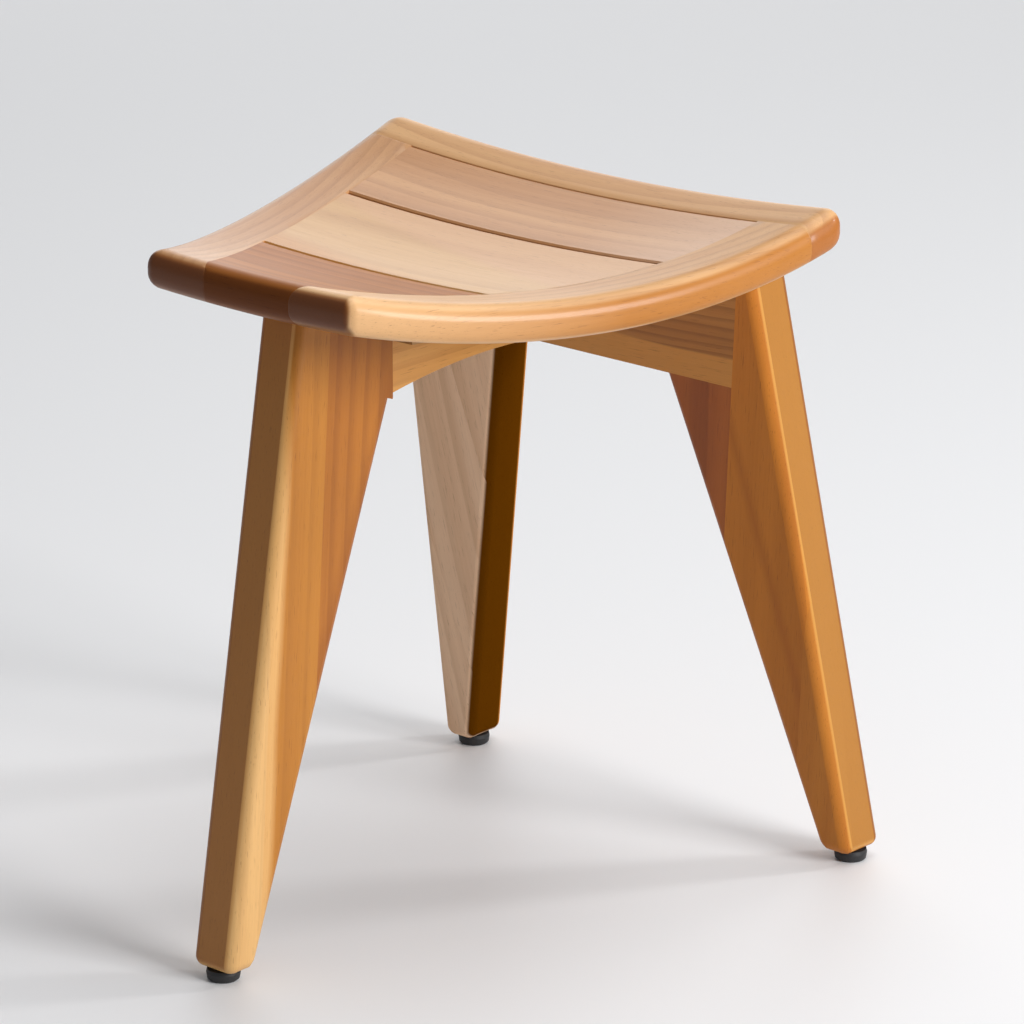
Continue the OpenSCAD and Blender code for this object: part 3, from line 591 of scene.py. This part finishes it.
def sawn(board, at_y, keep_back):
    """Saws a board straight across at y and keeps the part behind or in front of the cut."""
    alone(board)
    bpy.ops.object.mode_set(mode="EDIT")
    bpy.ops.mesh.select_all(action="SELECT")
    bpy.ops.mesh.bisect(plane_co=(0, at_y, 0), plane_no=(0, 1, 0), use_fill=True,
                        clear_inner=keep_back, clear_outer=not keep_back)
    bpy.ops.object.mode_set(mode="OBJECT")


def cut_along_rail(board, side, operation):
    """Cuts a board along the curved joint between the slats and a side rail."""
    bpy.ops.mesh.primitive_cylinder_add(
        vertices=1024, radius=side_r - side_rail_w, depth=0.3,
        location=(side * side_mid, side_mid_y + seat_mid_y, corner_height))
    former = bpy.context.object
    alone(board)
    cut = board.modifiers.new("joint", "BOOLEAN")
    cut.object = former
    cut.operation = operation
    cut.solver = "EXACT"
    bpy.ops.object.modifier_apply(modifier=cut.name)
    alone(former)
    bpy.ops.object.delete()


def seat_board(name, node, material):
    """A copy of the blank that becomes one board, in its node's place."""
    board = bpy.data.objects.new(name, blank.data.copy())
    bpy.context.scene.collection.objects.link(board)
    board.data.materials.append(material)
    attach(board, "stool")
    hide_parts(node)
    return board


def ease_joints(board):
    """Takes a hair off a board's sawn edges and smooths the rest."""
    alone(board)
    ease = board.modifiers.new("eased", "BEVEL")
    ease.width = 0.0004
    ease.segments = 2
    ease.limit_method = "ANGLE"
    ease.angle_limit = math.radians(50)
    bpy.ops.object.modifier_apply(modifier=ease.name)
    bpy.ops.object.shade_smooth_by_angle(angle=math.radians(40))


blank = seat_blank()
blank.name = "seat_blank"

# Painted shade on the seat's front face: darkest on the face, between two redder roundings. On the
# rails' front ends it also stands for their darker end grain
front_painted_shade_and_end_grain = (
    ((-0.25, -0.92, 0.30), (0.32, 0.098, 0.014), 0.85),
    ((-0.30, -0.80, -0.50), (0.20, 0.060, 0.010), 0.85),
    ((-0.33, -0.94, 0.1), (0.165, 0.043, 0.005), 0.95))
golden_side = ((1, -0.25, 0), (0.46, 0.163, 0.013), 0.92)
# Painted sheen: the right rail pales towards its front end, near the corner
front_end_painted_sheen = ((0.1, -0.22, 0.44), (0, 1, 0), 0.11, 0.20, (0.90, 0.56, 0.28), 0.9)
right_rail = seat_board("right_side_rail", "right_rail", oiled_board(
    "right_rail_wood", (0.69, 0.385, 0.160), (0.60, 0.30, 0.110), (0.40, 0.165, 0.046),
    lay((0.33, 0.943, 0), (0, 0, 1)), (0.0, 0.22, -0.44), ring_width=0.010, ring_show=0.3,
    gloss=0.2, layers=(golden_side, front_end_painted_sheen, *front_painted_shade_and_end_grain)))
left_rail = seat_board("left_side_rail", "left_rail", oiled_board(
    "left_rail_wood", (0.62, 0.33, 0.145), (0.52, 0.25, 0.095), (0.35, 0.145, 0.045),
    lay((-0.33, 0.943, 0), (0, 0, 1)), (0.6, -0.24, -0.44), ring_width=0.009, ring_show=0.3,
    gloss=0.2, layers=front_painted_shade_and_end_grain))
back_rail_end = ((1, 0, 0), (0.39, 0.118, 0.009), 0.92)
back_rail = seat_board("seat_back_rail", "back_rail", oiled_board(
    "back_rail_wood", (0.72, 0.42, 0.19), (0.62, 0.32, 0.132), (0.43, 0.18, 0.06),
    lay((1, 0, 0), (0, 0, 1)), (0.0, -0.20, -0.40), ring_width=0.009, ring_show=0.3, gloss=0.15,
    layers=(back_rail_end,)))
for side, rail in ((1, right_rail), (-1, left_rail)):
    sawn(rail, rail_joint_y, keep_back=False)
    cut_along_rail(rail, side, "DIFFERENCE")
    ease_joints(rail)
sawn(back_rail, rail_joint_y, keep_back=True)
ease_joints(back_rail)

# The slats: three boards between the side rails, with a drain gap between them. The front one
# carries the seat's rounded front edge. The middle one is the palest, and the back one is pinker.

front_slat = seat_board("seat_front_slat", "front_slat", oiled_board(
    "front_slat_wood", (0.50, 0.190, 0.041), (0.41, 0.143, 0.027), (0.27, 0.078, 0.012),
    lay((1, 0, 0), (0, 0, 1)), (0.3, 0.13, -0.41), ring_width=0.011, ring_show=0.4, gloss=0.05,
    shine=0.15, layers=front_painted_shade_and_end_grain))
sawn(front_slat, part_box("front_slat")[1][1], keep_back=False)
for side in (1, -1):
    cut_along_rail(front_slat, side, "INTERSECT")
ease_joints(front_slat)
alone(blank)
bpy.ops.object.delete()

pink_half = ((0.0, 0.10, 0.43), (0.25, 0.97, 0), 0.098, 0.012, (0.67, 0.36, 0.165), 0.7)
golden_strip = ((-0.05, -0.088, 0.43), (0.16, 0.99, 0), 0.034, 0.020, (0.56, 0.23, 0.036), 0.85)
finish_node("middle_slat", oiled_board(
    "middle_slat_wood", (0.69, 0.40, 0.158), (0.60, 0.32, 0.110), (0.44, 0.20, 0.056),
    lay((1, 0, 0), (0, 0, 1)), (0.9, 0.02, -0.385), ring_width=0.020, ring_show=0.25, gloss=0.3,
    layers=(pink_half, golden_strip)))
# Painted sheen: the back slat pales towards its right end
right_end_painted_sheen = ((0.20, 0.1, 0.43), (0.96, 0.28, 0), 0.10, 0.12, (0.70, 0.44, 0.28), 0.85)
finish_node("back_slat", oiled_board(
    "back_slat_wood", (0.65, 0.34, 0.145), (0.54, 0.255, 0.097), (0.37, 0.15, 0.043),
    lay((1, 0, 0), (0, 0, 1)), (1.7, -0.16, -0.39), ring_width=0.013, ring_show=0.3, gloss=0.3,
    layers=(right_end_painted_sheen,)))

# The hidden fastenings: beech dowels glued into the joints, steel screws through the cleats, and
# for each foot a steel stem that screws into a brass insert in the leg. The metal ones are turned.

dowel_wood = oiled_board(
    "dowel_beech", (0.74, 0.55, 0.34), (0.66, 0.46, 0.27), (0.50, 0.32, 0.16),
    lay((1, 0, 0), (0, 0, 1)), (0.0, 0.0, -0.5), ring_width=0.003)
for node in ("slat_dowels", "corner_dowels", "spine_dowels", "lap_dowels", "seat_dowels"):
    finish_node(node, dowel_wood)


def turned_metal(name, colour, rough):
    """Metal with fine turning marks round Z."""
    material = bpy.data.materials.new(name)
    material.use_nodes = True
    nodes, links = material.node_tree.nodes, material.node_tree.links
    shader = nodes["Principled BSDF"]
    shader.inputs["Metallic"].default_value = 1.0
    place = nodes.new("ShaderNodeTexCoord")
    spread = nodes.new("ShaderNodeMapping")
    spread.inputs["Scale"].default_value = (60.0, 60.0, 4000.0)
    noise = nodes.new("ShaderNodeTexNoise")
    noise.inputs["Scale"].default_value = 1.0
    links.new(place.outputs["Object"], spread.inputs["Vector"])
    links.new(spread.outputs["Vector"], noise.inputs["Vector"])
    tone = nodes.new("ShaderNodeMix")
    tone.data_type = "RGBA"
    tone.inputs["A"].default_value = (*(c * 0.8 for c in colour), 1.0)
    tone.inputs["B"].default_value = (*colour, 1.0)
    links.new(noise.outputs["Fac"], tone.inputs["Factor"])
    links.new(tone.outputs["Result"], shader.inputs["Base Color"])
    spread_rough = nodes.new("ShaderNodeMapRange")
    spread_rough.inputs["To Min"].default_value = rough * 0.8
    spread_rough.inputs["To Max"].default_value = rough * 1.3
    links.new(noise.outputs["Fac"], spread_rough.inputs["Value"])
    links.new(spread_rough.outputs["Result"], shader.inputs["Roughness"])
    return material


steel = turned_metal("turned_steel", (0.62, 0.62, 0.63), 0.28)
brass = turned_metal("turned_brass", (0.70, 0.50, 0.22), 0.32)
for node in ("cleat_screws", "seat_screws", "front_stem", "left_stem", "right_stem"):
    finish_node(node, steel)
for node in ("front_insert", "left_insert", "right_insert"):
    finish_node(node, brass)

# The levelling feet's pads: black moulded rubber, matt, with a fine sandy skin. Each holds the
# flange of its stem and moves up or down with it.

rubber = bpy.data.materials.new("pad_rubber")
rubber.use_nodes = True
rubber_nodes, rubber_links = rubber.node_tree.nodes, rubber.node_tree.links
rubber_shader = rubber_nodes["Principled BSDF"]
rubber_place = rubber_nodes.new("ShaderNodeTexCoord")
rubber_noise = rubber_nodes.new("ShaderNodeTexNoise")
rubber_noise.inputs["Scale"].default_value = 900.0
rubber_tone = rubber_nodes.new("ShaderNodeMix")
rubber_tone.data_type = "RGBA"
rubber_tone.inputs["A"].default_value = (0.010, 0.010, 0.011, 1.0)
rubber_tone.inputs["B"].default_value = (0.024, 0.024, 0.026, 1.0)
rubber_bump = rubber_nodes.new("ShaderNodeBump")
rubber_bump.inputs["Strength"].default_value = 0.2
rubber_bump.inputs["Distance"].default_value = 0.0002
rubber_links.new(rubber_place.outputs["Object"], rubber_noise.inputs["Vector"])
rubber_links.new(rubber_noise.outputs["Fac"], rubber_tone.inputs["Factor"])
rubber_links.new(rubber_tone.outputs["Result"], rubber_shader.inputs["Base Color"])
rubber_links.new(rubber_noise.outputs["Fac"], rubber_bump.inputs["Height"])
rubber_links.new(rubber_bump.outputs["Normal"], rubber_shader.inputs["Normal"])
rubber_shader.inputs["Roughness"].default_value = 0.55
for node in ("front_pad", "left_pad", "right_pad"):
    finish_node(node, rubber)

# The studio: a plain pale floor, a soft key light from the right, softer lights from above and
# behind, a wide one from behind on the left, and the camera at the photograph's angle.

bpy.ops.mesh.primitive_plane_add(size=14.0, location=(0, 0, 0))
floor = bpy.context.object
floor.name = "studio_floor"
paint = bpy.data.materials.new("pale_paint")
paint.use_nodes = True
paint_shader = paint.node_tree.nodes["Principled BSDF"]
paint_shader.inputs["Base Color"].default_value = (0.80, 0.80, 0.81, 1.0)
paint_shader.inputs["Roughness"].default_value = 0.55
floor.data.materials.append(paint)

world = bpy.data.worlds.new("studio")
bpy.context.scene.world = world
world.use_nodes = True
sky = world.node_tree.nodes["Background"]
sky.inputs["Color"].default_value = (0.93, 0.96, 1.0, 1.0)
sky.inputs["Strength"].default_value = 0.22

for name, place, target, size, power in (
    ("key_light", (3.2, 0.3, 1.6), (0, 0, 0.3), 1.4, 105.0),
    ("top_light", (0.2, 0.6, 3.0), (0, 0, 0.4), 2.0, 34.0),
    ("rim_light", (1.8, 2.5, 2.0), (0, 0, 0.4), 0.4, 24.0),
    ("wall_light", (-3.2, 3.4, 1.6), (0, 0, 0.4), 3.6, 60.0),
):
    lamp = bpy.data.lights.new(name, "AREA")
    lamp.size = size
    lamp.energy = power
    holder = bpy.data.objects.new(name, lamp)
    bpy.context.scene.collection.objects.link(holder)
    holder.location = place
    holder.rotation_euler = (Vector(target) - Vector(place)).to_track_quat("-Z", "Y").to_euler()

camera_data = bpy.data.cameras.new("photo_camera")
camera_data.sensor_width = 36.0
camera_data.lens = 190.85
camera = bpy.data.objects.new("photo_camera", camera_data)
bpy.context.scene.collection.objects.link(camera)
camera.location = (2.2290, -2.4605, 1.3283)
camera.rotation_euler = (math.radians(72.1), 0.0, math.radians(41.5))
bpy.context.scene.camera = camera
bpy.context.scene.view_settings.view_transform = "Standard"
